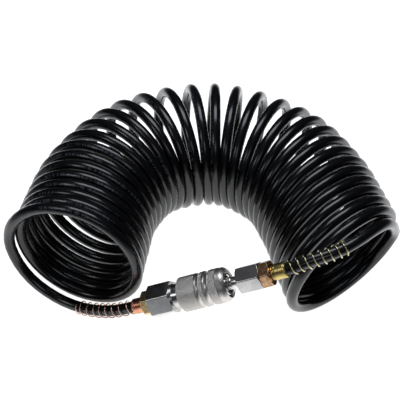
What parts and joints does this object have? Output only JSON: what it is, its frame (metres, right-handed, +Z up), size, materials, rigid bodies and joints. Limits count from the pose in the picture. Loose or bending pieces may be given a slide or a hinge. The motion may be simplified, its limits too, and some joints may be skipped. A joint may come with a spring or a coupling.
{
  "type": "spiral air hose",
  "caption": "Black recoil air hose coiled in a horseshoe, its ends joined by a quick coupler with a knurled sliding sleeve, a plug, hex studs, ferrules and spring guards.",
  "frame": {"origin": "on the floor, below the middle of the metal fittings' box (the coupler, its hose ends and their spring guards, without the hose)", "axes": "+Z up from the floor; +X from the socket's end of the coupler to the plug's end; +Y from the coupler back into the horseshoe of hose"},
  "size_m": [0.2791, 0.2203, 0.098],
  "materials": {
    "hose": "gloss",
    "zinc_left": "satin",
    "zinc_right": "satin",
    "brass_left": "satin",
    "brass_right": "satin",
    "dark_steel": "satin",
    "bright_steel": "polished",
    "knurled_nickel": "satin",
    "spring_steel": "satin",
    "ball_steel": "polished",
    "rubber": "matte",
    "inner_brass": "satin"
  },
  "bodies": {
    "socket": {"hose_coil": "hose", "hose_tail_left": "hose", "spring_guard_left": "zinc_left", "ferrule_left": "zinc_left", "hose_stud_left": "brass_left", "socket_adapter": "dark_steel", "socket_body": "bright_steel", "adapter_seal": "rubber", "sleeve_spring": "spring_steel", "snap_ring": "spring_steel", "locking_balls": "ball_steel", "valve_spring": "spring_steel", "plug_seal": "rubber"},
    "sleeve": {"sleeve": "knurled_nickel"},
    "valve": {"valve_poppet": "inner_brass", "valve_seal": "rubber"},
    "hose_end": {"ferrule_right": "zinc_right", "hose_barb_right": "inner_brass", "spring_guard_right": "zinc_right", "hose_tail_right": "hose"},
    "plug": {"plug_body": "dark_steel", "swivel_stud_right": "brass_right", "swivel_seal": "rubber"}
  },
  "joints": [
    {"name": "sleeve_slide", "type": "slide", "parent": "socket", "child": "sleeve", "axis": [-0.893, 0.1017, -0.4384], "range_m": [0, 0.0045], "stiffness_N_per_m": 1500, "springref_m": -0.004, "deforming": ["sleeve_spring"]},
    {"name": "plug_pull", "type": "slide", "parent": "socket", "child": "hose_end", "axis": [0.893, -0.1017, 0.4384], "range_m": [0, 0.028], "deforming": ["hose_tail_right", "locking_balls"]},
    {"name": "plug_swivel", "type": "hinge", "parent": "hose_end", "child": "plug", "pos_m": [0.03901, -0.01195, 0.06982], "axis": [0.893, -0.1017, 0.4384], "continuous": true},
    {"name": "valve_slide", "type": "slide", "parent": "socket", "child": "valve", "axis": [0.893, -0.1017, 0.4384], "range_m": [0, 0.002], "deforming": ["valve_spring"]}
  ],
  "couplings": [
    {"joint": "valve_slide", "follows": "plug_pull", "ratio": 0.0714}
  ]
}
